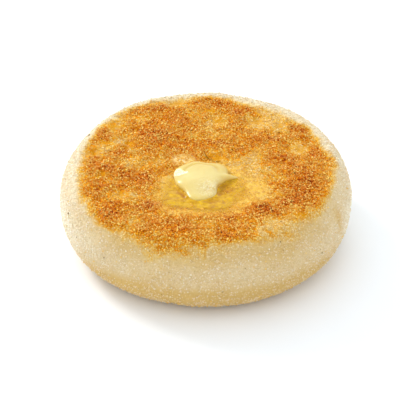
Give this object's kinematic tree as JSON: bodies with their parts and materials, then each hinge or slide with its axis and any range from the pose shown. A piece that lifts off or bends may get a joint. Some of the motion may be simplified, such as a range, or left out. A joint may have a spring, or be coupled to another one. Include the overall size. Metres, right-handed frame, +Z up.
{
  "type": "english muffin",
  "caption": "Whole round English muffin, griddled golden brown on its flat faces and pale round the wall, with a pat of butter melting in a shallow dish on top.",
  "frame": {"origin": "on the surface the muffin rests on, under the middle of its outline", "axes": "+Z up through the muffin's thickness, +X to the right and -Y to the front as it is served"},
  "size_m": [0.0958, 0.0954, 0.0295],
  "materials": {
    "griddled_bread": "matte",
    "soft_butter": "gloss",
    "melted_butter": "gloss",
    "semolina": "satin",
    "cornmeal": "satin",
    "bran": "matte"
  },
  "bodies": {
    "root": {"muffin": "griddled_bread", "butter_pat": "soft_butter"}
  },
  "joints": []
}
